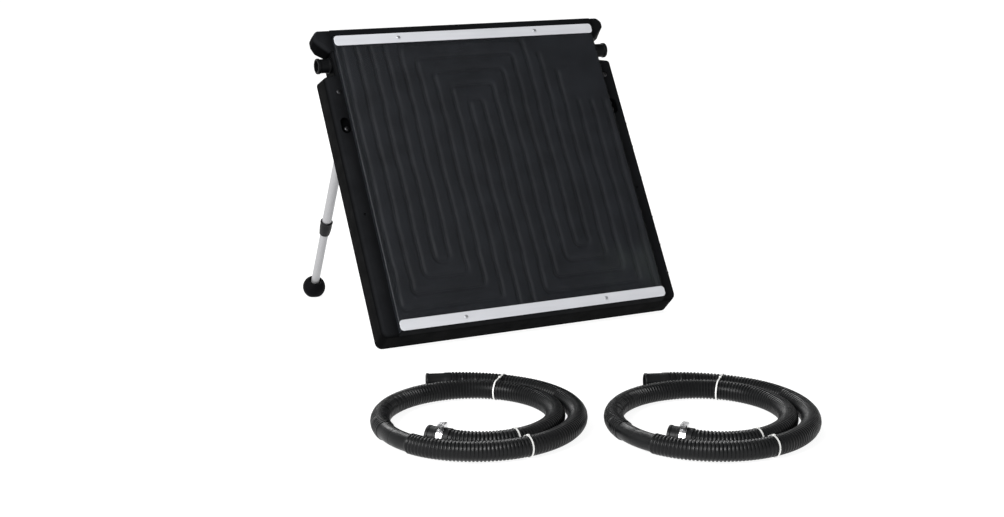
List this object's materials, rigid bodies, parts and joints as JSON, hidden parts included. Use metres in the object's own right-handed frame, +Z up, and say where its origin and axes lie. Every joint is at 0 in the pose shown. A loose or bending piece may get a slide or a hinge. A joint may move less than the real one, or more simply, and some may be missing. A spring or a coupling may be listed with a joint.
{
  "type": "solar pool heating panel",
  "caption": "Flat solar water-heating panel on folding telescopic legs, with side ports, a clear-covered labyrinth absorber and coiled corrugated hoses.",
  "frame": {"origin": "on the floor, below the middle of the box around the panel and its legs, hoses left out", "axes": "+Z up, the panel faces -Y and leans back 57.5 degrees from the floor, +X to the right seen from the front"},
  "size_m": [0.9457, 1.4321, 0.6498],
  "materials": {
    "black_housing": "black moulded polyethylene, satin with a soft highlight on its rounded edges",
    "charcoal_absorber": "charcoal moulded absorber, satin",
    "clear_sheet": "thin clear plastic sheet, glossy",
    "satin_aluminium": "satin silver aluminium",
    "bright_steel": "bright zinc-plated and stainless steel",
    "black_rubber": "matt black rubber",
    "hose_black": "black polyethylene, lightly glossy",
    "white_tie": "white nylon"
  },
  "bodies": {
    "root": {"housing": "black_housing", "absorber": "charcoal_absorber", "clear_cover": "clear_sheet", "bottom_strip": "satin_aluminium", "top_strip": "satin_aluminium", "bottom_strip_screw_left": "bright_steel", "bottom_strip_screw_right": "bright_steel", "top_strip_screw_left": "bright_steel", "top_strip_screw_right": "bright_steel", "left_header": "charcoal_absorber", "left_port": "black_housing", "left_flange_screw": "bright_steel", "left_flange_nut": "bright_steel", "left_bracket_bolt": "bright_steel", "left_bracket_nut": "bright_steel", "left_leg_bracket": "bright_steel", "left_pivot_pin": "bright_steel", "left_pin_cap": "bright_steel", "right_header": "charcoal_absorber", "right_port": "black_housing", "right_flange_screw": "bright_steel", "right_flange_nut": "bright_steel", "right_bracket_bolt": "bright_steel", "right_bracket_nut": "bright_steel", "right_leg_bracket": "bright_steel", "right_pivot_pin": "bright_steel", "right_pin_cap": "bright_steel", "left_hose": "hose_black", "left_hose_cuff": "hose_black", "left_hose_clamp": "bright_steel", "left_hose_double_tie": "white_tie", "left_hose_inner_tie": "white_tie", "left_hose_outer_tie": "white_tie", "right_hose": "hose_black", "right_hose_cuff": "hose_black", "right_hose_clamp": "bright_steel", "right_hose_double_tie": "white_tie", "right_hose_inner_tie": "white_tie", "right_hose_outer_tie": "white_tie"},
    "left_upper_leg": {"left_upper_tube": "satin_aluminium"},
    "left_collar": {"left_twist_collar": "black_housing"},
    "left_lower_leg": {"left_lower_tube": "satin_aluminium", "left_slide_plug": "black_housing", "left_foot": "black_rubber"},
    "left_clamp_worm": {"left_hose_clamp_screw": "bright_steel"},
    "right_upper_leg": {"right_upper_tube": "satin_aluminium"},
    "right_collar": {"right_twist_collar": "black_housing"},
    "right_lower_leg": {"right_lower_tube": "satin_aluminium", "right_slide_plug": "black_housing", "right_foot": "black_rubber"},
    "right_clamp_worm": {"right_hose_clamp_screw": "bright_steel"}
  },
  "joints": [
    {"name": "left_leg_fold", "type": "hinge", "parent": "root", "child": "left_upper_leg", "pos_m": [-0.334, 0.02273, 0.43724], "axis": [1, 0, 0], "range_deg": [-55, 0]},
    {"name": "left_collar_twist", "type": "hinge", "parent": "left_upper_leg", "child": "left_collar", "pos_m": [-0.334, 0.02273, 0.43724], "axis": [0, 0.4924, -0.8704], "range_deg": [0, 90]},
    {"name": "left_leg_extend", "type": "slide", "parent": "left_upper_leg", "child": "left_lower_leg", "axis": [0, 0.4924, -0.8704], "range_m": [-0.13, 0.05]},
    {"name": "left_clamp_tighten", "type": "hinge", "parent": "root", "child": "left_clamp_worm", "pos_m": [-0.47984, -0.83635, 0.0465], "axis": [-0.7465, -0.6654, 0], "continuous": true},
    {"name": "right_leg_fold", "type": "hinge", "parent": "root", "child": "right_upper_leg", "pos_m": [0.334, 0.02273, 0.43724], "axis": [1, 0, 0], "range_deg": [-55, 0]},
    {"name": "right_collar_twist", "type": "hinge", "parent": "right_upper_leg", "child": "right_collar", "pos_m": [0.334, 0.02273, 0.43724], "axis": [0, 0.4924, -0.8704], "range_deg": [0, 90]},
    {"name": "right_leg_extend", "type": "slide", "parent": "right_upper_leg", "child": "right_lower_leg", "axis": [0, 0.4924, -0.8704], "range_m": [-0.13, 0.05]},
    {"name": "right_clamp_tighten", "type": "hinge", "parent": "root", "child": "right_clamp_worm", "pos_m": [-0.09184, -1.02535, 0.0465], "axis": [-0.7465, -0.6654, 0], "continuous": true}
  ]
}
